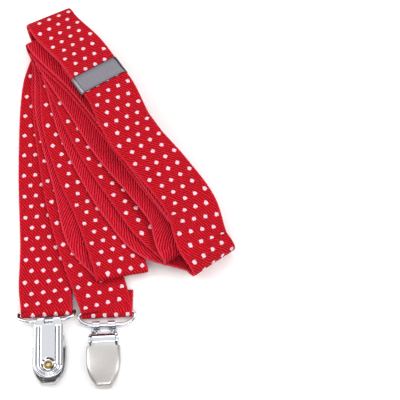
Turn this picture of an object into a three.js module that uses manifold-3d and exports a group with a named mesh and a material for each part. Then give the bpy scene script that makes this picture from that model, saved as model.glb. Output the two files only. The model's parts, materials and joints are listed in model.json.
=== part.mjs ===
// Dress suspenders, stored as a folded hank: one long elastic strap with an adjuster slide and
// two lever clips. Millimetres, +Z up, the hank lies on z = 0.
import * as THREE from 'three';
import * as BufferGeometryUtils from 'three/addons/utils/BufferGeometryUtils.js';
import Module from 'manifold-3d';

const wasm = await Module();
wasm.setup();

// ---- driving dimensions -------------------------------------------------------------------
const STRAP_WIDTH = 25;
const STRAP_THICK = 1.2;
const GATHER = 1.4; // width that the webbing loses in a bail
const GATHER_LENGTH = 16; // length of webbing over which it gathers
const PLY_GAP = 0.5; // air between two plies of the hank
const CLEAR = 0.3; // running and resting clearance between separate pieces

const WIRE_D = 1.6; // wire of the bails
const BAIL_DEPTH = 5.6; // strap bar to clip bar, between wire centres
const CLIP_LENGTH = 27.5; // wire centre to the rounded tip of the back plate
const PLATE_WIDTH = 13.2;
const SHEET = 0.8; // steel sheet of plates and covers
const COVER_WIDTH = 15.4;
const COVER_TIP_WIDTH = 6;
const COVER_OVERHANG = 2.4; // cover tip beyond the plate tip
const COVER_LIP = 2.2; // depth of the cover's turned-down rim
const HINGE_Y = 8; // hinge pin behind the wire
const HINGE_Z = 4.4; // hinge pin above the plate's back face
const PIN_D = 2;
const CAM_R = 2.9; // rolled cam of the cover, round the hinge pin
const TIP_HEIGHT = 4.6; // top of the cover at its tip
const EYELET_D = 2.6;
const SLIDE_LENGTH = 11; // slide, measured along the strap
const SLIDE_BAR = 1; // bars of the slide's frame, square section
const STITCH_D = 0.5;

const STATION_STEP = 5; // strap cross-sections stand about this far apart
const FOLD_STEPS = 9; // cross-sections round each fold

const PITCH = STRAP_THICK + PLY_GAP;
const WIRE_R = WIRE_D / 2;

// ---- small helpers ------------------------------------------------------------------------
const radians = THREE.MathUtils.degToRad;

function material(color, roughness, metalness) {
  return new THREE.MeshStandardMaterial({ color, roughness, metalness });
}

function solidOf(geometry) {
  const bare = geometry.clone();
  bare.deleteAttribute('normal');
  bare.deleteAttribute('uv');
  const merged = BufferGeometryUtils.mergeVertices(bare, 1e-4);
  return new wasm.Manifold(new wasm.Mesh({
    numProp: 3,
    vertProperties: new Float32Array(merged.attributes.position.array),
    triVerts: new Uint32Array(merged.index.array),
  }));
}

function geometryOf(solid) {
  const mesh = solid.getMesh();
  const geometry = new THREE.BufferGeometry();
  geometry.setAttribute('position', new THREE.BufferAttribute(mesh.vertProperties, 3));
  geometry.setIndex(new THREE.BufferAttribute(mesh.triVerts, 1));
  geometry.computeVertexNormals();
  return geometry;
}

// A closed skin over rings of points; every ring has the same number of points.
function skin(rings, closed) {
  const count = rings[0].length;
  const positions = rings.flat().flatMap((p) => [p.x, p.y, p.z]);
  const index = [];
  const last = closed ? rings.length : rings.length - 1;
  for (let i = 0; i < last; i += 1) {
    const a = i * count;
    const b = ((i + 1) % rings.length) * count;
    for (let k = 0; k < count; k += 1) {
      const n = (k + 1) % count;
      index.push(a + k, a + n, b + n, a + k, b + n, b + k);
    }
  }
  if (!closed) {
    const end = (rings.length - 1) * count;
    for (let k = 1; k < count - 1; k += 1) {
      index.push(0, k + 1, k);
      index.push(end, end + k, end + k + 1);
    }
  }
  const geometry = new THREE.BufferGeometry();
  geometry.setAttribute('position', new THREE.Float32BufferAttribute(positions, 3));
  geometry.setIndex(index);
  geometry.computeVertexNormals();
  return geometry;
}

function box(width, length, height, x, y, z) {
  return new THREE.BoxGeometry(width, length, height).translate(x, y, z);
}

// A flat outline in the XY plane, raised from z = low to z = high.
function raise(shape, low, high, curveSegments = 10) {
  const options = { depth: high - low, bevelEnabled: false, curveSegments };
  return new THREE.ExtrudeGeometry(shape, options).translate(0, 0, low);
}

// An outline drawn in the YZ plane, spread across X from -width/2 to +width/2.
function spread(shape, width, curveSegments = 10) {
  const options = { depth: width, bevelEnabled: false, curveSegments };
  const across = new THREE.Matrix4().set(0, 0, 1, -width / 2, 1, 0, 0, 0, 0, 1, 0, 0, 0, 0, 0, 1);
  return new THREE.ExtrudeGeometry(shape, options).applyMatrix4(across);
}

// A round bar along X.
function barX(diameter, length, y, z, sides = 16) {
  const bar = new THREE.CylinderGeometry(diameter / 2, diameter / 2, length, sides);
  return bar.rotateZ(Math.PI / 2).translate(0, y, z);
}

// A round bar along Z.
function barZ(diameter, low, high, x, y, sides = 20) {
  const bar = new THREE.CylinderGeometry(diameter / 2, diameter / 2, high - low, sides);
  return bar.rotateX(Math.PI / 2).translate(x, y, (low + high) / 2);
}

// ---- strap route --------------------------------------------------------------------------
// The hank's turns: where the strap folds, and the heading in which each fold bulges. The two
// clip ends lie side by side, a little further apart than the strap is wide.
const CLIP_1_X = -33.2;
const CLIP_2_X = CLIP_1_X + STRAP_WIDTH + 2.8;
const TURNS = {
  slideFlap: { x: -23.5, y: 75.2, heading: 123.4 },
  slideBar: { x: -15.8, y: 63.5, heading: -56.6 },
  farOuter: { x: -40, y: 96, heading: 118 },
  farInner: { x: -40, y: 96, heading: 118 },
  far2: { x: -41.5, y: 88, heading: 120 },
  far3: { x: -40, y: 84, heading: 120 },
  far4: { x: -37, y: 79.5, heading: 119 },
  far5: { x: -34, y: 73.5, heading: 118 },
  nearOuter: { x: 40, y: -31, heading: -52 },
  nearInner: { x: 29.5, y: -28.5, heading: -56 },
  nearHidden: { x: 34, y: -13, heading: -55 },
  nearMiddle: { x: 0.5, y: -40.5, heading: -75 },
  clip1: { x: CLIP_1_X, y: -61, heading: -86 },
  clip2: { x: CLIP_2_X, y: -61, heading: -87 },
  clip2Flap: { x: CLIP_2_X - 0.6, y: -49.3, heading: 93 },
};

// The strap's runs, in order along it. Points are x, y, level and roll: level counts the plies
// underneath and roll tips the left selvage up, in degrees. The first and the last point of a
// run are its turns, given as level and roll only.
const RUNS = [
  { from: 'slideFlap', start: [10.15, 0], via: [], to: 'slideBar', end: [10.15, 0] },
  {
    from: 'slideBar', start: [11.8, 0], to: 'farInner', end: [10, 0],
    via: [[-23.5, 75.2, 11.8, 0]],
  },
  {
    from: 'farInner', start: [1.2, 0], to: 'clip1', end: [2.95, 0],
    via: [[-44, 67, 1, 0], [-41.5, 18, 1, 0], [-36.5, -27, 1, 0], [-35.1, -48, 1.5, 0]],
  },
  {
    from: 'clip1', start: [0.8, 0], to: 'farOuter', end: [0.14, 0],
    via: [[-35.1, -48, 0.2, 0], [-36.5, -27, 0.02, 0], [-41.5, 18, 0, 0], [-44, 67, 0, 0]],
  },
  {
    from: 'farOuter', start: [11, 0], to: 'nearOuter', end: [7.8, 6],
    via: [[-23.5, 75.2, 12.8, 0], [-13.3, 59.7, 12.8, 0], [-7, 50.1, 12.8, 0],
      [3.5, 28.5, 11.4, 0], [21, 7, 9.9, 3], [33.5, -11, 8.9, 5]],
  },
  {
    from: 'nearOuter', start: [1.1, 8], to: 'far5', end: [5, 0],
    via: [[15.5, -23, 2.6, 9], [4, -10, 3.1, 8], [-7, 7, 3.9, 5], [-22.5, 38, 4.8, 1]],
  },
  {
    from: 'far5', start: [6, 0], to: 'nearInner', end: [2.9, 8],
    via: [[-19, 40, 5.8, 1], [-11, 25, 5.3, 3], [6, -1, 4.3, 7], [16.5, -16, 3.7, 9]],
  },
  {
    from: 'nearInner', start: [5.3, 7], to: 'far4', end: [7, 0],
    via: [[25, -13, 5.6, 6], [14, 3, 5.9, 5], [-3, 24.5, 6.4, 2], [-20.5, 53, 6.9, 0]],
  },
  {
    from: 'far4', start: [4, 0], to: 'nearMiddle', end: [3.6, 8],
    via: [[-30.5, 40, 3.8, 1], [-20.5, 11, 3.5, 5], [-11.5, -8, 3.2, 7]],
  },
  {
    from: 'nearMiddle', start: [1.9, 8], to: 'far3', end: [3, 0],
    via: [[-14, -23, 2.3, 7.5], [-22, 4, 2.6, 5], [-35, 48, 2.9, 1]],
  },
  {
    from: 'far3', start: [8, 0], to: 'nearHidden', end: [6.7, 5],
    via: [[-20.5, 62.5, 8, 0], [-3, 39, 7.6, 1], [15, 13, 6.9, 4]],
  },
  {
    from: 'nearHidden', start: [7.7, 5], to: 'far2', end: [9, 0],
    via: [[15.5, 14, 8, 3], [-2, 40, 8.7, 1], [-19.5, 63.5, 9, 0]],
  },
  {
    from: 'far2', start: [2, 0], to: 'clip2', end: [2.25, 0],
    via: [[-38.5, 61, 2, 0], [-31.5, 22, 1.95, 2], [-23.5, -10.5, 1.75, 6],
      [-13.6, -38, 1.8, 7], [CLIP_2_X - 3.4, -50, 1.95, 6]],
  },
  { from: 'clip2', start: [0.1, 0], via: [], to: 'clip2Flap', end: [0.05, 0] },
];

// How far each fold bulges past its turn.
const BULGES = {
  slideBar: 1.45,
  farInner: 7,
  clip1: 1.7,
  farOuter: 10,
  nearOuter: 7.5,
  far5: 1.2,
  nearInner: 3,
  far4: 2.8,
  nearMiddle: 2.6,
  far3: 4.2,
  nearHidden: 1.2,
  far2: 5.8,
  clip2: 1.7,
};

function heightOf(level) {
  return STRAP_THICK / 2 + level * PITCH;
}

function headingVector(heading) {
  return new THREE.Vector3(Math.cos(radians(heading)), Math.sin(radians(heading)), 0);
}

// Stations of one run: centre, direction of travel and roll.
function runStations(run) {
  const a = TURNS[run.from];
  const b = TURNS[run.to];
  const knots = [
    new THREE.Vector4(a.x, a.y, heightOf(run.start[0]), run.start[1]),
    ...run.via.map(([x, y, level, roll]) => new THREE.Vector4(x, y, heightOf(level), roll)),
    new THREE.Vector4(b.x, b.y, heightOf(run.end[0]), run.end[1]),
  ];
  const plan = (p, q) => Math.hypot(q.x - p.x, q.y - p.y);
  const beyond = (knot, heading, distance) => {
    const pull = headingVector(heading).multiplyScalar(distance);
    return knot.clone().add(new THREE.Vector4(pull.x, pull.y, 0, 0));
  };
  const before = beyond(knots[0], a.heading, plan(knots[0], knots[1]));
  const after = beyond(knots.at(-1), b.heading, plan(knots.at(-1), knots.at(-2)));
  const all = [before, ...knots, after];
  const stations = [];
  for (let i = 1; i < all.length - 2; i += 1) {
    const steps = Math.max(3, Math.round(plan(all[i], all[i + 1]) / STATION_STEP));
    for (let k = 0; k < steps; k += 1) {
      stations.push(catmullRom(all[i - 1], all[i], all[i + 1], all[i + 2], k / steps));
    }
  }
  stations.push(all.at(-2).clone());
  return stations;
}

// Centripetal Catmull-Rom between p1 and p2.
function catmullRom(p0, p1, p2, p3, share) {
  const knot = (p, q) => Math.sqrt(Math.hypot(q.x - p.x, q.y - p.y, q.z - p.z));
  const t1 = knot(p0, p1);
  const t2 = t1 + knot(p1, p2);
  const t3 = t2 + knot(p2, p3);
  const t = t1 + (t2 - t1) * share;
  const mix = (p, q, tp, tq) => p.clone().lerp(q, (t - tp) / (tq - tp));
  const a = mix(p0, p1, 0, t1);
  const b = mix(p1, p2, t1, t2);
  const c = mix(p2, p3, t2, t3);
  return mix(mix(a, b, 0, t2), mix(b, c, t1, t3), t1, t2);
}

// Half-turn from the end of one run to the start of the next.
function foldCentres(from, to, heading, bulge) {
  const middle = from.clone().add(to).multiplyScalar(0.5);
  const half = from.clone().sub(to).multiplyScalar(0.5);
  const out = headingVector(heading).multiplyScalar(bulge);
  const centres = [];
  for (let k = 1; k < FOLD_STEPS; k += 1) {
    const angle = (Math.PI * k) / FOLD_STEPS;
    centres.push(middle.clone().addScaledVector(half, Math.cos(angle))
      .addScaledVector(out, Math.sin(angle)));
  }
  return centres;
}

function acrossOf(direction, roll) {
  const level = new THREE.Vector3(-direction.y, direction.x, 0).normalize();
  if (level.x < 0) level.negate();
  const tipped = level.multiplyScalar(Math.cos(radians(roll)));
  tipped.z = -Math.sin(radians(roll));
  return tipped;
}

// The whole strap: centre and across-vector of every cross-section, in order.
function strapSections() {
  const sections = [];
  RUNS.forEach((run, i) => {
    const stations = runStations(run);
    const centres = stations.map((s) => new THREE.Vector3(s.x, s.y, s.z));
    const runSections = centres.map((centre, k) => {
      const before = centres[Math.max(0, k - 1)];
      const after = centres[Math.min(centres.length - 1, k + 1)];
      let direction = after.clone().sub(before);
      if (k === 0) direction = headingVector(TURNS[run.from].heading);
      if (k === centres.length - 1) direction = headingVector(TURNS[run.to].heading);
      return { centre, across: acrossOf(direction, stations[k].w), run: i };
    });
    if (i > 0) {
      const last = sections.at(-1);
      const next = runSections[0];
      const turn = TURNS[run.from];
      const fold = foldCentres(last.centre, next.centre, turn.heading, BULGES[run.from]);
      fold.forEach((centre, k) => {
        const share = (k + 1) / (fold.length + 1);
        const across = last.across.clone().lerp(next.across, share).normalize();
        sections.push({ centre, across, run: i - 0.5 });
      });
    }
    sections.push(...runSections);
  });
  sections.forEach((section, k) => {
    const before = sections[Math.max(0, k - 1)].centre;
    const after = sections[Math.min(sections.length - 1, k + 1)].centre;
    section.along = after.clone().sub(before).normalize();
    section.across.addScaledVector(section.along, -section.across.dot(section.along)).normalize();
    section.face = new THREE.Vector3().crossVectors(section.across, section.along);
  });
  return sections;
}

const SECTIONS = strapSections();

// The webbing gathers a little where it is folded into the bails.
function widthAt(centre) {
  const near = (turn) => Math.hypot(centre.x - turn.x, centre.y - turn.y) / GATHER_LENGTH;
  const share = Math.min(1, near(TURNS.clip1), near(TURNS.clip2));
  return STRAP_WIDTH - GATHER * (1 - share * share * (3 - 2 * share));
}

function strapGeometry() {
  const rings = SECTIONS.map(({ centre, across, face }) => {
    const half = widthAt(centre) / 2;
    const corner = (u, v) => centre.clone().addScaledVector(across, u * half)
      .addScaledVector(face, (v * STRAP_THICK) / 2);
    return [corner(-1, -1), corner(-1, 1), corner(1, 1), corner(1, -1)];
  });
  return skin(rings, false);
}

// ---- assembly -----------------------------------------------------------------------------
const RED = 0xc8102e;
const hank = new THREE.Group();

function add(parent, name, geometry, finish) {
  const mesh = new THREE.Mesh(geometry, finish);
  mesh.name = name;
  parent.add(mesh);
  return mesh;
}

add(hank, 'strap', strapGeometry(), material(RED, 0.85, 0));

// ---- adjuster slide: a bent steel cover and two cross bars, on the top ply of the hank -----
const SLIDE_RUN = 4; // the run that carries the slide
const SLIDE_AT = new THREE.Vector2(-13.3, 59.7);
const SLIDE_WALL = 0.6;
const SLIDE_HEIGHT = 4; // how far the side walls reach below the running ply's centre
const SLIDE_HALF = STRAP_WIDTH / 2 + CLEAR + SLIDE_WALL;

function slideFrame() {
  const distance = (s) => Math.hypot(s.centre.x - SLIDE_AT.x, s.centre.y - SLIDE_AT.y);
  const onRun = SECTIONS.filter((s) => s.run === SLIDE_RUN);
  const nearest = onRun.reduce((best, s) => (distance(s) < distance(best) ? s : best));
  const up = nearest.face.clone().negate();
  const back = nearest.along.clone().negate();
  const group = new THREE.Group();
  group.applyMatrix4(new THREE.Matrix4().makeBasis(nearest.across, back, up));
  group.position.copy(nearest.centre);
  return group;
}

const slide = slideFrame();
hank.add(slide);
const barDepth = STRAP_THICK / 2 + CLEAR + SLIDE_BAR / 2; // bar centre below the running ply
const sewnBarDepth = barDepth + PITCH; // the sewn end passes between this bar and the ply
const barReach = SLIDE_LENGTH / 2 - SLIDE_BAR;
const roofLow = STRAP_THICK / 2 + CLEAR;

function slideCover() {
  const roof = box(2 * SLIDE_HALF, SLIDE_LENGTH, SLIDE_WALL, 0, 0, roofLow + SLIDE_WALL / 2);
  let solid = solidOf(roof);
  const wallTop = roofLow + SLIDE_WALL;
  for (const side of [-1, 1]) {
    const height = wallTop + SLIDE_HEIGHT;
    const x = side * (SLIDE_HALF - SLIDE_WALL / 2);
    const wall = box(SLIDE_WALL, SLIDE_LENGTH, height, x, 0, wallTop - height / 2);
    solid = solid.add(solidOf(wall));
  }
  const holeD = SLIDE_BAR + 2 * CLEAR;
  for (const [y, z] of [[barReach, -sewnBarDepth], [-barReach, -barDepth]]) {
    solid = solid.subtract(solidOf(barX(holeD, 4 * SLIDE_HALF, y, z)));
  }
  return geometryOf(solid);
}

const nickel = () => material(0x9ea1a6, 0.38, 0.95);
const barLength = 2 * SLIDE_HALF;
add(slide, 'slide_cover', slideCover(), nickel());
add(slide, 'slide_sewn_bar', barX(SLIDE_BAR, barLength, barReach, -sewnBarDepth), nickel());
add(slide, 'slide_grip_bar', barX(SLIDE_BAR, barLength, -barReach, -barDepth), nickel());

// ---- bar tacks: the thread that closes each sewn end --------------------------------------
const TACK_WIDTH = STRAP_WIDTH - 4;
const TACK_HEIGHT = 0.26;
const TACK_TEETH = 14;
const TACK_SWING = 0.8; // half of the zigzag's reach along the strap

// A zigzag thread across the strap, drawn flat and raised by its height.
function tackGeometry() {
  const outline = [];
  for (const side of [-1, 1]) {
    for (let i = 0; i <= TACK_TEETH; i += 1) {
      const k = side < 0 ? i : TACK_TEETH - i;
      const x = TACK_WIDTH * (k / TACK_TEETH - 0.5);
      outline.push(new THREE.Vector2(x, (k % 2 ? TACK_SWING : -TACK_SWING) + (side * STITCH_D) / 2));
    }
  }
  return raise(new THREE.Shape(outline), -TACK_HEIGHT / 2, TACK_HEIGHT / 2);
}

// Places a bar tack beside the ply at a share of the way along one run.
function addTack(name, runIndex, share, side) {
  const onRun = SECTIONS.filter((s) => s.run === runIndex);
  const { centre, across, along, face } = onRun[Math.round((onRun.length - 1) * share)];
  const group = new THREE.Group();
  group.applyMatrix4(new THREE.Matrix4().makeBasis(across, along, face));
  const lift = (STRAP_THICK + TACK_HEIGHT) / 2 + PLY_GAP / 2;
  group.position.copy(centre).addScaledVector(face, side * lift);
  hank.add(group);
  add(group, name, tackGeometry(), material(RED, 0.7, 0));
}

addTack('slide_bar_tack', 0, 0.15, -1);
addTack('clip_2_bar_tack', RUNS.length - 1, 0.85, 1);

// ---- bail: a closed wire loop between the strap and a clip --------------------------------
const BAIL_HALF = (STRAP_WIDTH - GATHER) / 2 + CLEAR + WIRE_R; // half its width, at wire centre
const THROAT_HALF = 6.9; // half of the straight bar that the clip swings on
const BAIL_CORNER = 1.4; // bend from the strap bar into the sides
const BAIL_SHOULDER = 3; // how far the sides draw in before they bend to the clip bar

function bailGeometry() {
  const d = BAIL_DEPTH;
  const shoulder = BAIL_HALF - BAIL_SHOULDER;
  const outline = new THREE.Shape();
  outline.moveTo(-(BAIL_HALF - BAIL_CORNER), 0);
  outline.lineTo(BAIL_HALF - BAIL_CORNER, 0);
  outline.quadraticCurveTo(BAIL_HALF + 0.4, 0, BAIL_HALF, BAIL_CORNER);
  outline.quadraticCurveTo(BAIL_HALF - 0.1, d * 0.66, shoulder, d * 0.86);
  outline.quadraticCurveTo(THROAT_HALF + 1.5, d, THROAT_HALF, d);
  outline.lineTo(-THROAT_HALF, d);
  outline.quadraticCurveTo(-THROAT_HALF - 1.5, d, -shoulder, d * 0.86);
  outline.quadraticCurveTo(-(BAIL_HALF - 0.1), d * 0.66, -BAIL_HALF, BAIL_CORNER);
  outline.quadraticCurveTo(-BAIL_HALF - 0.4, 0, -(BAIL_HALF - BAIL_CORNER), 0);
  const points = outline.getPoints(6);
  points.pop();
  const sides = 12;
  const rings = points.map((point, i) => {
    const before = points[(i + points.length - 1) % points.length];
    const after = points[(i + 1) % points.length];
    const along = after.clone().sub(before).normalize();
    const ring = [];
    for (let k = 0; k < sides; k += 1) {
      const angle = (2 * Math.PI * k) / sides;
      const out = WIRE_R * Math.cos(angle);
      ring.push(new THREE.Vector3(point.x + along.y * out, point.y - along.x * out,
        WIRE_R * Math.sin(angle)));
    }
    return ring.reverse();
  });
  return skin(rings, true);
}

// ---- clip, drawn with its wire bar on the X axis at y = 0, its back face on z = 0 ----------
const WIRE_Z = SHEET + CLEAR + WIRE_R;
const EAR_HALF = PLATE_WIDTH / 2 - SHEET; // inner face of the plate's ears
const EAR_R = 2.3;
const FLANGE = 2.2; // height of the plate's turned-up sides
const CLIP_PLAY = 1.4; // how far the clip can slide along the wire, to each side
const CURL_WIDTH = 2 * (THROAT_HALF - CLIP_PLAY - CLEAR);
const SLOT_WIDTH = 3.8;
const SLOT_LENGTH = 4.6;
const EYELET_Y = CLIP_LENGTH - 6.2;
const DIMPLE_R = 3;
const DIMPLE_DEPTH = SHEET;
const PANEL_WIDTH = 6.4;
const PANEL_RISE = 0.5;
const PAD_WIDTH = 8.4;
const PAD_LENGTH = 8;
const PAD_THICK = 1.3;
const LEVER_HALF = EAR_HALF - CLEAR;
const HEAD_LENGTH = 3.2; // over this length the plate widens from the curls to its full width
const CURL_TURN = radians(215); // how far the curls wrap round the wire past the underside
const COVER_CROWN = 0.6; // rise of the cover's long curve between its ends
const COVER_START = HINGE_Y + 3.8;
const COVER_END = CLIP_LENGTH + COVER_OVERHANG;
const COVER_TOP = HINGE_Z + CAM_R + 0.5;

function plateOutline() {
  const half = PLATE_WIDTH / 2;
  const shoulder = CLIP_LENGTH - half;
  const outline = new THREE.Shape();
  outline.moveTo(-CURL_WIDTH / 2, 0);
  outline.lineTo(CURL_WIDTH / 2, 0);
  outline.lineTo(half, HEAD_LENGTH);
  outline.lineTo(half, shoulder);
  outline.absellipse(0, shoulder, half, half, 0, Math.PI, false, 0);
  outline.lineTo(-half, HEAD_LENGTH);
  outline.closePath();
  return outline;
}

function curlOutline() {
  const inner = WIRE_R + CLEAR;
  const outer = inner + SHEET;
  const start = -Math.PI / 2;
  const end = -Math.PI - CURL_TURN;
  const outline = new THREE.Shape();
  outline.absarc(0, WIRE_Z, outer, start, end, true);
  outline.absarc(0, WIRE_Z, inner, end, start, false);
  return outline;
}

function earOutline() {
  const outline = new THREE.Shape();
  outline.moveTo(HINGE_Y - 5, SHEET / 2);
  outline.lineTo(HINGE_Y + 4, SHEET / 2);
  outline.lineTo(HINGE_Y + 3.2, FLANGE);
  outline.absarc(HINGE_Y, HINGE_Z, EAR_R, 0, Math.PI, false);
  outline.lineTo(HINGE_Y - 4.2, FLANGE);
  outline.closePath();
  return outline;
}

function plateGeometry() {
  let solid = solidOf(raise(plateOutline(), 0, SHEET));
  solid = solid.add(solidOf(spread(curlOutline(), CURL_WIDTH)));
  const flangeStart = 4;
  const flangeEnd = CLIP_LENGTH - PLATE_WIDTH / 2;
  for (const side of [-1, 1]) {
    const x = side * (EAR_HALF + SHEET / 2);
    const length = flangeEnd - flangeStart;
    const flange = box(SHEET, length, FLANGE, x, flangeStart + length / 2, FLANGE / 2);
    solid = solid.add(solidOf(flange));
    solid = solid.add(solidOf(spread(earOutline(), SHEET).translate(x, 0, 0)));
  }
  const dimpleTop = DIMPLE_DEPTH + SHEET;
  solid = solid.add(solidOf(barZ(2 * (DIMPLE_R + SHEET), SHEET / 2, dimpleTop, 0, EYELET_Y)));
  solid = solid.subtract(solidOf(barZ(2 * DIMPLE_R, -1, DIMPLE_DEPTH, 0, EYELET_Y)));
  solid = solid.subtract(solidOf(barZ(EYELET_D + 2 * CLEAR, -1, 3, 0, EYELET_Y)));
  const pinHole = barX(PIN_D + 2 * CLEAR, PLATE_WIDTH + 2, HINGE_Y, HINGE_Z);
  solid = solid.subtract(solidOf(pinHole));
  const slotHeight = 2 * (WIRE_Z + WIRE_R + SHEET + CLEAR);
  solid = solid.subtract(solidOf(box(SLOT_WIDTH, SLOT_LENGTH, slotHeight, 0, 0, slotHeight / 4)));
  // two grooves pressed into the back face leave a long panel standing between them
  const grooveWidth = 0.6;
  const panelEnd = EYELET_Y - DIMPLE_R - 1.2;
  const panelStart = SLOT_LENGTH / 2 + 1.2;
  const grooveLength = panelEnd - panelStart;
  for (const side of [-1, 1]) {
    const x = side * (PANEL_WIDTH + grooveWidth) / 2;
    const groove = box(grooveWidth, grooveLength, PANEL_RISE, x, panelStart + grooveLength / 2, 0);
    solid = solid.subtract(solidOf(groove));
  }
  return geometryOf(solid);
}

// Outline of the cover seen from the front, drawn in by a margin.
function coverOutline(start, margin) {
  const half = COVER_WIDTH / 2 - margin;
  const tip = COVER_TIP_WIDTH / 2 - margin / 2;
  const end = COVER_END - margin;
  const shoulder = COVER_START + 5;
  const outline = new THREE.Shape();
  outline.moveTo(-half, start);
  outline.lineTo(half, start);
  outline.lineTo(half, shoulder);
  outline.bezierCurveTo(half, shoulder + 8, tip + 2.4, end - 3, tip, end);
  outline.lineTo(-tip, end);
  outline.bezierCurveTo(-tip - 2.4, end - 3, -half, shoulder + 8, -half, shoulder);
  outline.closePath();
  return outline;
}

// A band under the cover's long curve, from the curve lowered by top to it lowered by bottom.
function coverBand(start, top, bottom) {
  const end = COVER_END + 1;
  const bend = (start + end) / 2 + 3;
  const outline = new THREE.Shape();
  outline.moveTo(start, COVER_TOP - top);
  outline.quadraticCurveTo(bend, COVER_TOP - top + COVER_CROWN, end, TIP_HEIGHT - top);
  outline.lineTo(end, TIP_HEIGHT - bottom);
  outline.quadraticCurveTo(bend, COVER_TOP - bottom + COVER_CROWN, start, COVER_TOP - bottom);
  outline.closePath();
  return outline;
}

function coverGeometry() {
  const rim = SHEET + COVER_LIP;
  const outside = solidOf(raise(coverOutline(COVER_START, 0), -1, COVER_TOP + 2))
    .intersect(solidOf(spread(coverBand(COVER_START - 1, 0, rim), COVER_WIDTH + 2)));
  const inside = solidOf(raise(coverOutline(COVER_START - 1, SHEET), -1, COVER_TOP + 2))
    .intersect(solidOf(spread(coverBand(COVER_START - 2, SHEET, rim + 3), COVER_WIDTH + 2)));
  return geometryOf(outside.subtract(inside));
}

function leverGeometry() {
  const under = SHEET + CLEAR;
  const margin = SHEET + CLEAR;
  const start = HINGE_Y + 1;
  const tongue = solidOf(raise(coverOutline(start, margin), -1, COVER_TOP + 2))
    .intersect(solidOf(spread(coverBand(start - 1, under, under + SHEET), 2 * LEVER_HALF)));
  let solid = solidOf(barX(2 * CAM_R, 2 * LEVER_HALF, HINGE_Y, HINGE_Z, 28)).add(tongue);
  solid = solid.subtract(solidOf(barX(PIN_D + 2 * CLEAR, PLATE_WIDTH, HINGE_Y, HINGE_Z)));
  return geometryOf(solid);
}

function padGeometry() {
  const low = DIMPLE_DEPTH + SHEET + CLEAR;
  let solid = solidOf(box(PAD_WIDTH, PAD_LENGTH, PAD_THICK, 0, EYELET_Y, low + PAD_THICK / 2));
  const teeth = 3;
  const toothLength = 0.7;
  const toothPitch = 0.75;
  for (const side of [-1, 1]) {
    for (let i = 0; i < teeth; i += 1) {
      const tooth = new THREE.Shape();
      const end = side * (PAD_LENGTH / 2 - 0.1 - i * toothPitch);
      const y = EYELET_Y + end - (side > 0 ? toothLength : 0);
      tooth.moveTo(y, low + PAD_THICK - 0.1);
      tooth.lineTo(y + toothLength, low + PAD_THICK - 0.1);
      tooth.lineTo(y + toothLength / 2, low + PAD_THICK + 0.4);
      tooth.closePath();
      solid = solid.add(solidOf(spread(tooth, PAD_WIDTH - 1)));
    }
  }
  solid = solid.subtract(solidOf(barZ(EYELET_D + 2 * CLEAR, 0, 8, 0, EYELET_Y)));
  return geometryOf(solid);
}

function eyeletGeometry() {
  const wall = 0.35;
  const bore = EYELET_D / 2 - wall;
  const barrel = EYELET_D / 2;
  const backRim = barrel + 0.9;
  const padRim = barrel + 0.7;
  const low = DIMPLE_DEPTH - CLEAR - wall;
  const high = DIMPLE_DEPTH + SHEET + PAD_THICK + 2 * CLEAR;
  const profile = [[bore, low], [backRim, low], [backRim, low + wall], [barrel, low + wall],
    [barrel, high], [padRim, high], [padRim, high + 0.3], [bore, high + 0.3],
    [bore, low]].map(([r, z]) => new THREE.Vector2(r, z));
  const ring = new THREE.LatheGeometry(profile, 24);
  return ring.rotateX(Math.PI / 2).translate(0, EYELET_Y, 0);
}

function addClip(number, turn, wireHeight, frontUp, slip) {
  const restHeight = frontUp ? WIRE_Z : COVER_TOP + 0.2 - WIRE_Z;
  const bail = new THREE.Group();
  bail.position.set(turn.x, turn.y, wireHeight);
  bail.rotation.order = 'ZYX';
  bail.rotation.z = radians(turn.heading - 90);
  const tilt = Math.asin((restHeight - wireHeight) / BAIL_DEPTH);
  bail.rotation.x = tilt;
  hank.add(bail);
  const name = (part) => `clip_${number}_${part}`;
  add(bail, name('bail'), bailGeometry(), material(0xc9ccd0, 0.18, 1));

  const swing = new THREE.Group();
  swing.position.set(slip, BAIL_DEPTH, 0);
  swing.rotation.x = -tilt;
  bail.add(swing);
  const turned = new THREE.Group();
  turned.rotation.y = frontUp ? 0 : Math.PI;
  swing.add(turned);
  const clip = new THREE.Group();
  clip.position.z = -WIRE_Z;
  turned.add(clip);
  const chrome = () => material(0xc9ccd0, 0.2, 1);
  add(clip, name('back_plate'), plateGeometry(), chrome());
  add(clip, name('hinge_pin'), barX(PIN_D, PLATE_WIDTH + 0.6, HINGE_Y, HINGE_Z), chrome());
  add(clip, name('grip_pad'), padGeometry(), material(0xe8e6e0, 0.5, 0));
  add(clip, name('eyelet'), eyeletGeometry(), material(0xb5923c, 0.3, 1));
  add(clip, name('lever'), leverGeometry(), chrome());
  add(clip, name('cover'), coverGeometry(), nickel());
}

const wireHeightAt = (above, below) => (heightOf(above) + heightOf(below)) / 2;
// each clip lies slipped along its bar, clip 1 and clip 2 towards each other
addClip(1, TURNS.clip1, wireHeightAt(2.95, 0.8), false, -CLIP_PLAY);
addClip(2, TURNS.clip2, wireHeightAt(2.25, 0.1), true, CLIP_PLAY);

// the frame's origin is under the middle of the hank, on the surface that it lies on
hank.updateMatrixWorld(true);
const bounds = new THREE.Box3().setFromObject(hank, true);
hank.position.set(-(bounds.min.x + bounds.max.x) / 2, -(bounds.min.y + bounds.max.y) / 2,
  -bounds.min.z);

export default hank;
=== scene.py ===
"""A folded suspender: red dotted elastic webbing, an adjuster slide and two clips on wire bails."""

import json
import math

import bmesh
import bpy
from mathutils import Matrix, Vector


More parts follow.
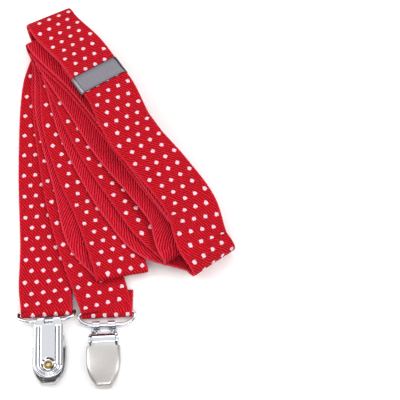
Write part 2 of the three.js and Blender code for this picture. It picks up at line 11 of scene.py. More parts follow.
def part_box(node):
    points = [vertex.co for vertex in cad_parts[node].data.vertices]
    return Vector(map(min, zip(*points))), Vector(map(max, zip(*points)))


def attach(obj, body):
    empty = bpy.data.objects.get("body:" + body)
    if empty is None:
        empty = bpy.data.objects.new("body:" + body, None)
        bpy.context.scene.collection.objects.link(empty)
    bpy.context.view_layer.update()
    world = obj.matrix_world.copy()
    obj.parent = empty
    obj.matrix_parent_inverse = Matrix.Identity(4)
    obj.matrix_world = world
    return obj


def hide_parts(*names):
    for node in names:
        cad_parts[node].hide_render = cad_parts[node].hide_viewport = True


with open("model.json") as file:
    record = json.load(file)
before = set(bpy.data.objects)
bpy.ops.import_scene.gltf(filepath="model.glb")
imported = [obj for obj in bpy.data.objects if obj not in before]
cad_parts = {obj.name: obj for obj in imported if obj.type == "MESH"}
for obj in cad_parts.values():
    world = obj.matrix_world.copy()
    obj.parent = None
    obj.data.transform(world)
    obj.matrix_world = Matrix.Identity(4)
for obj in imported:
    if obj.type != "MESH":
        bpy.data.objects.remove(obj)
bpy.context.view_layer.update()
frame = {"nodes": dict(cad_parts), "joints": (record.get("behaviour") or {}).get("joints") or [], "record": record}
MM = 0.001


# ---- Camera: a product photographer's long lens on a tripod, looking down on the table from
# the side where the clips are. Its aim is tied to the strap.
CAMERA_DISTANCE = 450
AIM_FROM_LEFT = 94.6
AIM_FROM_FAR_END = 111.1
camera_data = bpy.data.cameras.new("camera")
camera_data.lens = 81
camera_data.sensor_width = 36
camera_data.clip_start = 0.01
camera = bpy.data.objects.new("camera", camera_data)
camera_height = math.radians(62)
strap_low, strap_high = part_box("strap")
camera_aim = Vector((strap_low.x + AIM_FROM_LEFT * MM, strap_high.y - AIM_FROM_FAR_END * MM, 0))
camera_back = Vector((0, -math.cos(camera_height), math.sin(camera_height)))
camera.location = camera_aim + camera_back * CAMERA_DISTANCE * MM
camera.rotation_euler = (math.pi / 2 - camera_height, 0, 0)
bpy.context.scene.collection.objects.link(camera)
bpy.context.scene.camera = camera
bpy.context.scene.view_settings.view_transform = "Standard"


# ---- Table: a matt white board that the strap lies on. Three broad soft boxes and a strip
# light stand round it, below a white ceiling.
BOARD_HALF = 3


def linear(hex_colour):
    """An sRGB hex colour as linear RGBA."""
    parts = [int(hex_colour[i:i + 2], 16) / 255 for i in (1, 3, 5)]
    return (*[c / 12.92 if c <= 0.04045 else ((c + 0.055) / 1.055) ** 2.4 for c in parts], 1)


def shader(material, kind, settings=(), **links):
    """Adds one node to a material, with its settings and its input values or links."""
    node = material.node_tree.nodes.new(kind)
    for name, value in dict(settings).items():
        setattr(node, name, value)
    for name, value in links.items():
        index = int(name[1:]) if name[0] == "i" and name[1:].isdigit() else None
        socket = node.inputs[index if index is not None else name.replace("_", " ")]
        if isinstance(value, bpy.types.NodeSocket):
            material.node_tree.links.new(value, socket)
        else:
            socket.default_value = value
    return node


def new_material(name):
    """A material with a bare Principled shader; returns both."""
    material = bpy.data.materials.new(name)
    material.use_nodes = True
    return material, material.node_tree.nodes["Principled BSDF"]


def piece(name, mesh, *materials):
    """An object at the origin that shows a mesh with its materials."""
    for material in materials:
        mesh.materials.append(material)
    item = bpy.data.objects.new(name, mesh)
    bpy.context.scene.collection.objects.link(item)
    return item


# matt paint: an even white with no shine
board_paint, board_shader = new_material("matt white board")
board_shader.inputs["Base Color"].default_value = linear("#f7f7f7")
board_shader.inputs["Roughness"].default_value = 0.9
board_mesh = bpy.data.meshes.new("board")
board_corners = [(x * BOARD_HALF, y * BOARD_HALF, 0) for x, y in ((-1, -1), (1, -1), (1, 1), (-1, 1))]
board_mesh.from_pydata(board_corners, [], [(0, 1, 2, 3)])
piece("board", board_mesh, board_paint)


def soft_box(name, place, size, power):
    """A rectangular area light that faces the middle of the table."""
    data = bpy.data.lights.new(name, "AREA")
    data.shape = "RECTANGLE"
    data.size, data.size_y = size
    data.energy = power
    lamp = bpy.data.objects.new(name, data)
    lamp.location = place
    lamp.rotation_euler = (-Vector(place)).to_track_quat("-Z", "Y").to_euler()
    bpy.context.scene.collection.objects.link(lamp)


soft_box("soft_box_back", (0.05, 0.7, 0.9), (1.2, 0.6), 4)
soft_box("soft_box_left", (-0.85, 0.05, 0.55), (0.4, 0.9), 6)
soft_box("soft_box_right", (0.85, -0.1, 0.65), (0.3, 0.9), 5.5)
soft_box("strip_front", (0.1, -0.75, 0.6), (0.9, 0.16), 3.5)
sky = bpy.data.worlds.new("studio")
bpy.context.scene.world = sky
sky.use_nodes = True
# a white ceiling over darker walls
sky_shader = sky.node_tree.nodes["Background"]
sky_shader.inputs["Color"].default_value = linear("#ffffff")
sky_way = shader(sky, "ShaderNodeTexCoord").outputs["Generated"]
sky_up = shader(sky, "ShaderNodeSeparateXYZ", Vector=sky_way).outputs["Z"]
sky_glow = shader(sky, "ShaderNodeMapRange", Value=sky_up, i1=0.5, i2=0.93, i3=0.04, i4=1.15)
sky.node_tree.links.new(sky_glow.outputs[0], sky_shader.inputs["Strength"])


# ---- Strap: 25 mm elastic webbing, woven polyester over rubber threads, about 1.7 m long.
# Its face is a fine red twill with white dots woven in; its back has bold slanting ribs.
# It runs to and fro ten times between its turns, and is sewn to the slide and to clip 2.
STRAP_WIDTH = 25
STRAP_THICK = 1.2
PITCH = 1.7  # height from one ply to the next
GATHER = 1.4  # width that the webbing loses where it is folded into a bail
GATHER_LENGTH = 16
# each turn: where its fold is, x and y, and the way it faces in degrees
TURNS = {
    "slide_flap": (-23.5, 75.2, 123.4), "slide_bar": (-15.8, 63.5, -56.6),
    "far_outer": (-40, 96, 118), "far_inner": (-40, 96, 118), "far_2": (-41.5, 88, 120),
    "far_3": (-40, 84, 120), "far_4": (-37, 79.5, 119), "far_5": (-34, 73.5, 118),
    "near_outer": (40, -31, -52), "near_inner": (29.5, -28.5, -56),
    "near_hidden": (34, -13, -55), "near_middle": (0.5, -40.5, -75),
    "clip_1": (-33.2, -61, -86), "clip_2": (-5.4, -61, -87), "clip_2_flap": (-6, -49.3, 93),
}
# how far the webbing stands out past each fold
BULGES = {
    "slide_bar": 1.45, "far_inner": 7, "clip_1": 1.7, "far_outer": 10, "near_outer": 7.5,
    "far_5": 1.2, "near_inner": 3, "far_4": 2.8, "near_middle": 2.6, "far_3": 4.2,
    "near_hidden": 1.2, "far_2": 5.8, "clip_2": 1.7,
}
# each run: first turn, its level and roll, points (x, y, level, roll), last turn, level, roll
RUNS = [
    ("slide_flap", 10.15, 0, [], "slide_bar", 10.15, 0),
    ("slide_bar", 11.8, 0, [(-23.5, 75.2, 11.8, 0)], "far_inner", 10, 0),
    ("far_inner", 1.2, 0, [(-44, 67, 1, 0), (-41.5, 18, 1, 0), (-36.5, -27, 1, 0),
                           (-35.1, -48, 1.5, 0)], "clip_1", 2.95, 0),
    ("clip_1", 0.8, 0, [(-35.1, -48, 0.2, 0), (-36.5, -27, 0.02, 0), (-41.5, 18, 0, 0),
                        (-44, 67, 0, 0)], "far_outer", 0.14, 0),
    ("far_outer", 11, 0, [(-23.5, 75.2, 12.8, 0), (-13.3, 59.7, 12.8, 0), (-7, 50.1, 12.8, 0),
                          (3.5, 28.5, 11.4, 0), (21, 7, 9.9, 3), (33.5, -11, 8.9, 5)],
     "near_outer", 7.8, 6),
    ("near_outer", 1.1, 8, [(15.5, -23, 2.6, 9), (4, -10, 3.1, 8), (-7, 7, 3.9, 5),
                            (-22.5, 38, 4.8, 1)], "far_5", 5, 0),
    ("far_5", 6, 0, [(-19, 40, 5.8, 1), (-11, 25, 5.3, 3), (6, -1, 4.3, 7),
                     (16.5, -16, 3.7, 9)], "near_inner", 2.9, 8),
    ("near_inner", 5.3, 7, [(25, -13, 5.6, 6), (14, 3, 5.9, 5), (-3, 24.5, 6.4, 2),
                            (-20.5, 53, 6.9, 0)], "far_4", 7, 0),
    ("far_4", 4, 0, [(-30.5, 40, 3.8, 1), (-20.5, 11, 3.5, 5), (-11.5, -8, 3.2, 7)],
     "near_middle", 3.6, 8),
    ("near_middle", 1.9, 8, [(-14, -23, 2.3, 7.5), (-22, 4, 2.6, 5), (-35, 48, 2.9, 1)],
     "far_3", 3, 0),
    ("far_3", 8, 0, [(-20.5, 62.5, 8, 0), (-3, 39, 7.6, 1), (15, 13, 6.9, 4)],
     "near_hidden", 6.7, 5),
    ("near_hidden", 7.7, 5, [(15.5, 14, 8, 3), (-2, 40, 8.7, 1), (-19.5, 63.5, 9, 0)],
     "far_2", 9, 0),
    ("far_2", 2, 0, [(-38.5, 61, 2, 0), (-31.5, 22, 1.95, 2), (-23.5, -10.5, 1.75, 6),
                     (-13.6, -38, 1.8, 7), (-8.8, -50, 1.95, 6)], "clip_2", 2.25, 0),
    ("clip_2", 0.1, 0, [], "clip_2_flap", 0.05, 0),
]


def heading_vector(degrees):
    return Vector((math.cos(math.radians(degrees)), math.sin(math.radians(degrees)), 0))


def catmull_rom(p0, p1, p2, p3, share):
    """Centripetal Catmull-Rom between p1 and p2."""
    t0 = 0
    t1 = t0 + math.sqrt((p1 - p0).xyz.length)
    t2 = t1 + math.sqrt((p2 - p1).xyz.length)
    t3 = t2 + math.sqrt((p3 - p2).xyz.length)
    t = t1 + (t2 - t1) * share

    def mix(p, q, tp, tq):
        return p.lerp(q, (t - tp) / (tq - tp))

    a, b, c = mix(p0, p1, t0, t1), mix(p1, p2, t1, t2), mix(p2, p3, t2, t3)
    return mix(mix(a, b, t0, t2), mix(b, c, t1, t3), t1, t2)


def run_stations(run, step):
    """Centre and roll along one run, as 4-vectors, about one for each step of millimetres."""
    first, level_1, roll_1, via, last, level_2, roll_2 = run
    points = [(*TURNS[first][:2], level_1, roll_1), *via, (*TURNS[last][:2], level_2, roll_2)]
    knots = [Vector((x, y, STRAP_THICK / 2 + level * PITCH, roll)) for x, y, level, roll in points]

    def beyond(knot, turn, other):
        pull = heading_vector(TURNS[turn][2]) * (other.xy - knot.xy).length
        return knot + Vector((*pull.xy, 0, 0))

    knots = [beyond(knots[0], first, knots[1]), *knots, beyond(knots[-1], last, knots[-2])]
    stations = []
    for i in range(1, len(knots) - 2):
        steps = max(3, round((knots[i + 1].xy - knots[i].xy).length / step))
        stations += [catmull_rom(*knots[i - 1:i + 3], k / steps) for k in range(steps)]
    return [*stations, knots[-2]]


def across_of(direction, roll):
    """Unit vector across the webbing, kept pointing to the right and tipped by the roll."""
    level = Vector((-direction.y, direction.x)).normalized()
    if level.x < 0:
        level.negate()
    roll = math.radians(roll)
    return Vector((level.x * math.cos(roll), level.y * math.cos(roll), -math.sin(roll)))


def strap_sections(step=1.6, fold_steps=22):
    """(centre, across) for every cross-section of the webbing, in millimetres."""
    sections = []
    for run in RUNS:
        stations = run_stations(run, step)
        centres = [s.xyz for s in stations]
        here = []
        for k, centre in enumerate(centres):
            direction = centres[min(k + 1, len(centres) - 1)] - centres[max(k - 1, 0)]
            if k == 0:
                direction = heading_vector(TURNS[run[0]][2])
            if k == len(centres) - 1:
                direction = heading_vector(TURNS[run[4]][2])
            here.append((centre, across_of(direction, stations[k].w)))
        if sections:
            (start, start_across), (end, end_across) = sections[-1], here[0]
            out = heading_vector(TURNS[run[0]][2]) * BULGES[run[0]]
            for k in range(1, fold_steps):
                angle = math.pi * k / fold_steps
                centre = (start + end) / 2 + (start - end) / 2 * math.cos(angle) \
                    + out * math.sin(angle)
                across = start_across.lerp(end_across, k / fold_steps).normalized()
                sections.append((centre, across))
        sections += here
    return sections


sections = strap_sections()


def gather_at(centre):
    """Share of its full width that the webbing has here."""
    near = [(centre.xy - Vector(TURNS[turn][:2])).length for turn in ("clip_1", "clip_2")]
    share = min(1, min(near) / GATHER_LENGTH)
    return 1 - GATHER / STRAP_WIDTH * (1 - share * share * (3 - 2 * share))


def webbing_profile():
    """Points round the webbing's cross-section: (across, through), flat faces, round selvages."""
    half, thick = STRAP_WIDTH / 2, STRAP_THICK / 2
    face = [-0.94 + 1.88 * i / 18 for i in range(19)]
    lower = [(u * half, -thick * (0.92 if abs(u) > 0.9 else 1)) for u in face]
    edge = [(half, -thick * 0.5), (half, thick * 0.5)]
    upper = [(-u, -v) for u, v in lower]
    return [*lower, *edge, *upper, *[(-u, -v) for u, v in edge]]


def strap_mesh():
    profile = webbing_profile()
    count = len(profile)
    points, weave = [], []
    distance = 0
    for i, (centre, across) in enumerate(sections):
        before, after = sections[max(i - 1, 0)][0], sections[min(i + 1, len(sections) - 1)][0]
        along = (after - before).normalized()
        across = (across - along * across.dot(along)).normalized()
        face = across.cross(along)
        distance += (centre - sections[i - 1][0]).length if i else 0
        for u, v in profile:
            points.append((centre + across * u * gather_at(centre) + face * v) * MM)
            weave.append((u + STRAP_WIDTH / 2, distance))
    faces, sides = [], []
    for i in range(len(sections) - 1):
        for k in range(count):
            n = (k + 1) % count
            a, b = i * count, (i + 1) * count
            faces.append((a + k, b + k, b + n, a + n))
            sides.append(0 if profile[k][1] + profile[n][1] < 0 else 1)
    for start, flip in ((0, False), ((len(sections) - 1) * count, True)):
        cap = tuple(range(start, start + count))
        faces.append(tuple(reversed(cap)) if flip else cap)
        sides.append(0)
    mesh = bpy.data.meshes.new("strap_webbing")
    mesh.from_pydata(points, [], faces)
    mesh.polygons.foreach_set("material_index", sides)
    layer = mesh.uv_layers.new(name="weave")
    for loop in mesh.loops:
        layer.data[loop.index].uv = weave[loop.vertex_index]
    mesh.shade_smooth()
    solid = bmesh.new()
    solid.from_mesh(mesh)
    bmesh.ops.recalc_face_normals(solid, faces=solid.faces)
    solid.to_mesh(mesh)
    solid.free()
    low = [min(v.co[i] for v in mesh.vertices) for i in range(3)]
    high = [max(v.co[i] for v in mesh.vertices) for i in range(3)]
    cad_low, cad_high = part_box("strap")
    shift = [(cad_low[i] + cad_high[i] - low[i] - high[i]) / 2 for i in range(2)]
    mesh.transform(Matrix.Translation((*shift, cad_low.z - low[2])))
    return mesh


RIB_LEAN = math.radians(35)  # the twill runs this far off the strap's length
RIB_PITCH = 1.15
PICK_PITCH = 0.55
DOT_ACROSS = 5.6
DOT_ROWS = 5.9
DOT_RADIUS = 0.98
DOT_START = 2.8
DOT_COLUMNS = 4
DOT_ROW_SHIFT = 3  # every other row lies this far over


def webbing_material(name, colours, rib_height, dotted):
    """Elastic webbing: matt polyester yarn. The weave map holds millimetres across and along."""
    material, surface = new_material(name)

    def maths(operation, *values, **settings):
        inputs = {f"i{i}": value for i, value in enumerate(values)}
        return shader(material, "ShaderNodeMath", {"operation": operation, **settings},
                      **inputs).outputs[0]

    weave = shader(material, "ShaderNodeUVMap", {"uv_map": "weave"}).outputs[0]
    split = shader(material, "ShaderNodeSeparateXYZ", Vector=weave)
    across, along = split.outputs[0], maths("ADD", split.outputs[1], DOT_START)
    # yarns wander a little, so the ribs do too
    wander = shader(material, "ShaderNodeTexNoise", {"noise_dimensions": "2D"}, Vector=weave,
                    Scale=0.35, Detail=2.0)
    slip = maths("MULTIPLY", wander.outputs["Fac"], RIB_PITCH * 0.8)
    lean = maths("SUBTRACT", maths("MULTIPLY", across, math.cos(RIB_LEAN)),
                 maths("MULTIPLY", along, math.sin(RIB_LEAN)))
    phase = maths("MULTIPLY", maths("ADD", lean, slip), 2 * math.pi / RIB_PITCH)
    rib = maths("MULTIPLY_ADD", maths("SINE", phase), 0.5, 0.5)
    # short picks across each rib
    pick = maths("MULTIPLY_ADD", maths("SINE", maths("MULTIPLY", along, 2 * math.pi / PICK_PITCH)),
                 0.5, 0.5)
    grain = shader(material, "ShaderNodeTexNoise", {"noise_dimensions": "2D"}, Vector=weave,
                   Scale=2.2, Detail=3.0)
    relief = maths("MULTIPLY_ADD", pick, 0.22, rib)
    relief = maths("MULTIPLY_ADD", grain.outputs["Fac"], 0.35, relief)
    # painted shade: the colour follows the relief, dark in the grooves between ribs and picks and light on their
    # crests; the grain noise adds a real random tone
    tone = shader(material, "ShaderNodeValToRGB", Fac=maths("MULTIPLY", relief, 0.68))
    tone.color_ramp.elements[0].color = linear(colours[0])
    tone.color_ramp.elements[0].position = 0.22
    tone.color_ramp.elements[1].color = linear(colours[1])
    tone.color_ramp.elements[1].position = 0.66
    colour = tone.outputs["Color"]
    # the selvage: a plain band of tighter yarn along both edges
    from_edge = maths("MINIMUM", across, maths("SUBTRACT", STRAP_WIDTH, across))
    selvage = maths("SUBTRACT", 1.0, maths("SMOOTH_MIN", maths("MULTIPLY", from_edge, 1.1),
                                            1.0, 0.1))
    selvage = maths("MAXIMUM", selvage, 0.0)
    colour = shader(material, "ShaderNodeMix", {"data_type": "RGBA"}, i0=selvage, i6=colour,
                    i7=linear(colours[2])).outputs[2]
    if dotted:
        row = maths("FLOOR", maths("DIVIDE", along, DOT_ROWS))
        rise = maths("MULTIPLY", maths("SUBTRACT", maths("FRACT", maths("DIVIDE", along, DOT_ROWS)),
                                       0.5), DOT_ROWS)
        odd = maths("MODULO", row, 2.0)
        start = maths("MULTIPLY_ADD", odd, -DOT_ROW_SHIFT, maths("SUBTRACT", across, 0.1))
        column = maths("DIVIDE", start, DOT_ACROSS)
        reach = maths("MULTIPLY", maths("SUBTRACT", maths("FRACT", column), 0.5), DOT_ACROSS)
        distance = maths("SQRT", maths("ADD", maths("MULTIPLY", rise, rise),
                                       maths("MULTIPLY", reach, reach)))
        ragged = maths("MULTIPLY_ADD", rib, 0.25, distance)
        disc = maths("MULTIPLY", maths("SUBTRACT", DOT_RADIUS + 0.22, ragged), 5.0)
        disc = maths("MINIMUM", maths("MAXIMUM", disc, 0.0), 1.0)
        inside = maths("MULTIPLY", maths("GREATER_THAN", column, 0.0),
                       maths("LESS_THAN", column, DOT_COLUMNS))
        disc = maths("MULTIPLY", disc, inside)
        colour = shader(material, "ShaderNodeMix", {"data_type": "RGBA"}, i0=disc, i6=colour,
                        i7=linear("#e6cfdb")).outputs[2]
        relief = maths("MULTIPLY_ADD", disc, 0.5, relief)
    material.node_tree.links.new(colour, surface.inputs["Base Color"])
    bump = shader(material, "ShaderNodeBump", Strength=1.0, Distance=rib_height * MM,
                  Height=relief)
    material.node_tree.links.new(bump.outputs[0], surface.inputs["Normal"])
    surface.inputs["Roughness"].default_value = 0.82
    surface.inputs["Specular IOR Level"].default_value = 0.1
    return material


# polyester yarn: matt slanting ribs, dotted on the face, brighter and plain on the back; on both, the colour is
# darker in the rib grooves as painted shade
twill_face = webbing_material("dotted twill webbing", ("#780008", "#d21628", "#d42438"),
                              0.35, True)
ribbed_back = webbing_material("ribbed elastic webbing", ("#720008", "#dc2036", "#e03a4c"),
                               0.4, False)
webbing = strap_mesh()
strap = piece("strap_webbing", webbing, twill_face, ribbed_back)
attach(strap, "strap")
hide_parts("strap")


# ---- Bar tacks: zigzag rows of red polyester thread that close the webbing's two sewn ends,
# one below the slide's bar and one at clip 2. Each stitch dips into the webbing.
TACK_SIZES = {"Width": 21 * MM, "Pitch": 1.05 * MM, "Stitch length": 2.3 * MM,
              "Thread": 0.42 * MM, "Lean": math.radians(28)}
# each tack lies across the webbing, this many degrees from X
TACK_HEADINGS = {"slide_bar_tack": 33.4, "clip_2_bar_tack": 6}


def links_of(tree):
    """Returns a function that adds one node to a geometry tree, with its settings and links."""
    def add(kind, settings=(), **links):
        node = tree.nodes.new(kind)
        for name, value in dict(settings).items():
            setattr(node, name, value)
        for name, value in links.items():
            socket = node.inputs[int(name[1:])]
            if isinstance(value, bpy.types.NodeSocket):
                tree.links.new(value, socket)
            else:
                socket.default_value = value
        return node
    return add


def bar_tack_tree(thread):
    """Stitches in a zigzag row across the webbing, centred on the origin, lying along X."""
    tree = bpy.data.node_groups.new("bar_tack", "GeometryNodeTree")
    tree.interface.new_socket("Geometry", in_out="OUTPUT", socket_type="NodeSocketGeometry")
    for name in TACK_SIZES:
        tree.interface.new_socket(name, in_out="INPUT", socket_type="NodeSocketFloat")
    add = links_of(tree)
    given = add("NodeGroupInput").outputs
    count = add("ShaderNodeMath", {"operation": "DIVIDE"}, i0=given["Width"], i1=given["Pitch"])
    start = add("ShaderNodeMath", {"operation": "MULTIPLY"}, i0=given["Width"], i1=-0.5)
    line = add("GeometryNodeMeshLine", {"mode": "OFFSET"}, i0=count.outputs[0],
               i2=add("ShaderNodeCombineXYZ", i0=start.outputs[0]).outputs[0],
               i3=add("ShaderNodeCombineXYZ", i0=given["Pitch"]).outputs[0])
    odd = add("ShaderNodeMath", {"operation": "MODULO"},
              i0=add("GeometryNodeInputIndex").outputs[0], i1=2.0)
    sign = add("ShaderNodeMath", {"operation": "MULTIPLY_ADD"}, i0=odd.outputs[0], i1=2.0, i2=-1.0)
    turn = add("ShaderNodeMath", {"operation": "MULTIPLY"}, i0=sign.outputs[0], i1=given["Lean"])
    stitch = add("GeometryNodeMeshUVSphere", i0=8, i1=6, i2=0.5)
    scale = add("ShaderNodeCombineXYZ", i0=given["Thread"], i1=given["Stitch length"],
                i2=given["Thread"])
    placed = add("GeometryNodeInstanceOnPoints", i0=line.outputs[0], i2=stitch.outputs[0],
                 i5=add("ShaderNodeCombineXYZ", i2=turn.outputs[0]).outputs[0],
                 i6=scale.outputs[0])
    whole = add("GeometryNodeRealizeInstances", i0=placed.outputs[0])
    threaded = add("GeometryNodeSetMaterial", i0=whole.outputs[0], i2=thread)
    smooth = add("GeometryNodeSetShadeSmooth", i0=threaded.outputs[0])
    add("NodeGroupOutput", i0=smooth.outputs[0])
    return tree


def mesh_of(tree, sizes, name):
    """Runs a geometry tree on an empty mesh, with its inputs set, and returns a plain mesh."""
    maker = bpy.data.objects.new("maker", bpy.data.meshes.new("maker"))
    bpy.context.scene.collection.objects.link(maker)
    modifier = maker.modifiers.new("tree", "NODES")
    modifier.node_group = tree
    for socket in tree.interface.items_tree:
        if socket.in_out == "INPUT":
            modifier[socket.identifier] = sizes[socket.name]
    graph = bpy.context.evaluated_depsgraph_get()
    mesh = bpy.data.meshes.new_from_object(maker.evaluated_get(graph))
    mesh.name = name
    bpy.data.objects.remove(maker)
    return mesh


def basis(origin, x_axis, y_axis):
    """A frame at origin with its X along x_axis and its Y towards y_axis."""
    x = Vector(x_axis).normalized()
    y = (Vector(y_axis) - x * Vector(y_axis).dot(x)).normalized()
    turn = Matrix((x, y, x.cross(y))).transposed().to_4x4()
    return Matrix.Translation(Vector(origin)) @ turn


# polyester thread: a twisted yarn whose slight shine is painted into its colour as light and dark stripes along
# the twist
thread, thread_shader = new_material("polyester thread")
thread_coords = shader(thread, "ShaderNodeTexCoord").outputs["Object"]
thread_twist = shader(thread, "ShaderNodeTexWave", {"bands_direction": "DIAGONAL"},
                      Vector=thread_coords, Scale=900.0, Distortion=0.5)
# painted shine: the light stripes stand for highlights on the twist, the dark ones for shade between them
thread_painted_shine = shader(thread, "ShaderNodeMix", {"data_type": "RGBA"},
                     i0=thread_twist.outputs["Fac"], i6=linear("#b0101f"), i7=linear("#d92c40"))
thread.node_tree.links.new(thread_painted_shine.outputs[2], thread_shader.inputs["Base Color"])
thread_shader.inputs["Roughness"].default_value = 0.55
tack_tree = bar_tack_tree(thread)
for node, heading in TACK_HEADINGS.items():
    across = heading_vector(heading)
    tack_low, tack_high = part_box(node)
    tack = mesh_of(tack_tree, TACK_SIZES, node + "_thread")
    middle = (tack_low + tack_high) / 2
    tack.transform(basis(middle, across, Vector((-across.y, across.x, 0))))
    tack_piece = piece(node + "_thread", tack)
    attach(tack_piece, "strap")
    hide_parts(node)


# ---- Bails: closed loops of 1.6 mm steel wire, bent, butt-welded and chromed. The webbing is
# folded over the long side and the clip's head is curled round the short one.
WIRE = 1.6
BAIL_DEPTH = 5.6
BAIL_HALF = (STRAP_WIDTH - GATHER) / 2 + 0.3 + WIRE / 2
THROAT_HALF = 6.9
BAIL_CORNER = 1.4
PLATE_TO_WIRE = 0.8 + 0.3 + WIRE / 2  # from the clip's back face to the middle of the wire


def metal(name, colour, roughness, scratch_scale, scratch_depth, stretch=(1, 1, 1), wear=0.0):
    """Plated metal: an even bright colour, with fine marks from polishing or brushing."""
    material, surface = new_material(name)
    surface.inputs["Base Color"].default_value = linear(colour)
    surface.inputs["Metallic"].default_value = 1.0
    coords = shader(material, "ShaderNodeUVMap", {"uv_map": "surface"}).outputs[0]
    mapped = shader(material, "ShaderNodeMapping", Vector=coords, Scale=stretch)
    marks = shader(material, "ShaderNodeTexNoise", Vector=mapped.outputs[0],
                   Scale=scratch_scale, Detail=4.0, Roughness=0.6)
    gloss = shader(material, "ShaderNodeMapRange", Value=marks.outputs["Fac"], i1=0.3, i2=0.7,
                   i3=roughness * (1 - wear), i4=roughness * (1 + wear))
    material.node_tree.links.new(gloss.outputs[0], surface.inputs["Roughness"])
    bump = shader(material, "ShaderNodeBump", Strength=1.0, Distance=scratch_depth * MM,
                  Height=marks.outputs["Fac"])
    material.node_tree.links.new(bump.outputs[0], surface.inputs["Normal"])
    return material


def finished(mesh, place, name):
    """Gives a mesh drawn in millimetres its surface map, then puts it in its place in metres."""
    if not mesh.uv_layers:
        layer = mesh.uv_layers.new(name="surface")
        for loop in mesh.loops:
            layer.data[loop.index].uv = mesh.vertices[loop.vertex_index].co.xy
    mesh.name = name
    mesh.transform(place @ Matrix.Scale(MM, 4))
    mesh.shade_smooth()
    mesh.set_sharp_from_angle(angle=math.radians(38))
    return mesh


def quadratic(a, b, c, steps):
    """Points on a quadratic curve from a to c, without a."""
    points = []
    for k in range(1, steps + 1):
        t = k / steps
        points.append(a * (1 - t) ** 2 + b * 2 * t * (1 - t) + c * t ** 2)
    return points


def bail_outline():
    """Half of the loop in millimetres, from the middle of the long bar round to the short one."""
    corner = Vector((BAIL_HALF, BAIL_CORNER))
    shoulder = Vector((BAIL_HALF - 3, BAIL_DEPTH * 0.86))
    throat = Vector((THROAT_HALF, BAIL_DEPTH))
    start = Vector((BAIL_HALF - BAIL_CORNER, 0))
    half = [Vector((start.x * k / 10, 0)) for k in range(11)]
    half += quadratic(start, Vector((BAIL_HALF + 0.4, 0)), corner, 10)
    half += quadratic(corner, Vector((BAIL_HALF - 0.1, BAIL_DEPTH * 0.66)), shoulder, 12)
    half += quadratic(shoulder, Vector((THROAT_HALF + 1.5, BAIL_DEPTH)), throat, 10)
    half += [Vector((throat.x * (1 - k / 8), BAIL_DEPTH)) for k in range(1, 9)]
    return half


def wire_loop(points, radius, sides=20):
    """A closed round wire along points in the XY plane."""
    coords, faces = [], []
    total = len(points)
    for i, point in enumerate(points):
        along = (points[(i + 1) % total] - points[i - 1]).normalized()
        for k in range(sides):
            angle = 2 * math.pi * k / sides
            out = radius * math.cos(angle)
            coords.append((point.x + along.y * out, point.y - along.x * out,
                           radius * math.sin(angle)))
            a, b = i * sides, ((i + 1) % total) * sides
            n = (k + 1) % sides
            faces.append((a + k, b + k, b + n, a + n))
    mesh = bpy.data.meshes.new("wire")
    mesh.from_pydata(coords, [], faces)
    return mesh


joints = {joint["name"]: joint for joint in frame["joints"]}
# chrome on drawn wire: a mirror with the faintest lines
chrome = metal("bright chrome plate", "#cfd1d6", 0.09, 0.8, 0.004, wear=0.25)
half_loop = bail_outline()
loop = half_loop + [Vector((-p.x, p.y)) for p in reversed(half_loop[1:-1])]
bail_places, clip_places = {}, {}
for n in (1, 2):
    bar = Vector(joints[f"bail_{n}_swing"]["pos_m"])
    wire = Vector(joints[f"clip_{n}_swing"]["pos_m"])
    pin = Vector(joints[f"lever_{n}_open"]["pos_m"])
    pin_axis = Vector(joints[f"lever_{n}_open"]["axis"])
    bail_places[n] = basis(bar, joints[f"bail_{n}_swing"]["axis"], wire - bar)
    outward = pin - wire
    outward.z = 0
    place = basis(wire, pin_axis, outward)
    clip_places[n] = place @ Matrix.Translation((0, 0, -PLATE_TO_WIRE * MM))
    bail = piece(f"clip_{n}_bail_wire", finished(wire_loop(loop, WIRE / 2), bail_places[n],
                                                 f"bail_{n}"), chrome)
    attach(bail, f"bail_{n}")
    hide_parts(f"clip_{n}_bail")


# ---- Clip back plates: pressed and folded from thin steel strip, chromed. Grooves stiffen the
# back, the sides turn up into ears for the pin, and the head is curled round the bail in two
# tongues with a slot between them. A dimple holds the eyelet.
SHEET = 0.7
CLIP_LENGTH = 27.5
PLATE_HALF = 6.6
HINGE_Y, HINGE_Z = 8, 4.4
EYELET_Y = CLIP_LENGTH - 6.2
EAR_RADIUS = 2.3
FLANGE = 2.2
SLOT_HALF = 1.9
CURL_HALF = 5.2
CURL_RADIUS = 1.9
# the pressed section: distance in from the edge, height in from the back face
PLATE_SECTION = [(0.02, 1.0), (0.08, 0.62), (0.22, 0.3), (0.42, 0.1), (0.7, 0.0), (0.95, 0.0),
                 (1.12, 0.12), (1.3, 0.45), (1.5, 0.56), (1.7, 0.45), (1.88, 0.12), (2.05, 0.0),
                 (2.5, 0.0), (2.68, 0.08), (2.85, 0.28), (3.05, 0.36), (3.25, 0.28), (3.42, 0.08),
                 (3.7, 0.0), (4.2, 0.0), (4.7, 0.0), (5.2, 0.0), (5.8, 0.0), (6.2, 0.0), (6.6, 0.0)]


def flange_height(y):
    """Height of the plate's turned-up side, which rises to an ear at the pin."""
    away = abs(y - HINGE_Y)
    if away < EAR_RADIUS:
        return HINGE_Z + math.sqrt(EAR_RADIUS ** 2 - away ** 2)
    if away < EAR_RADIUS + 1.4:
        share = (away - EAR_RADIUS) / 1.4
        return HINGE_Z + (FLANGE - HINGE_Z) * share
    return FLANGE


def smooth_step(value, low, high):
    share = min(1, max(0, (value - low) / (high - low)))
    return share * share * (3 - 2 * share)


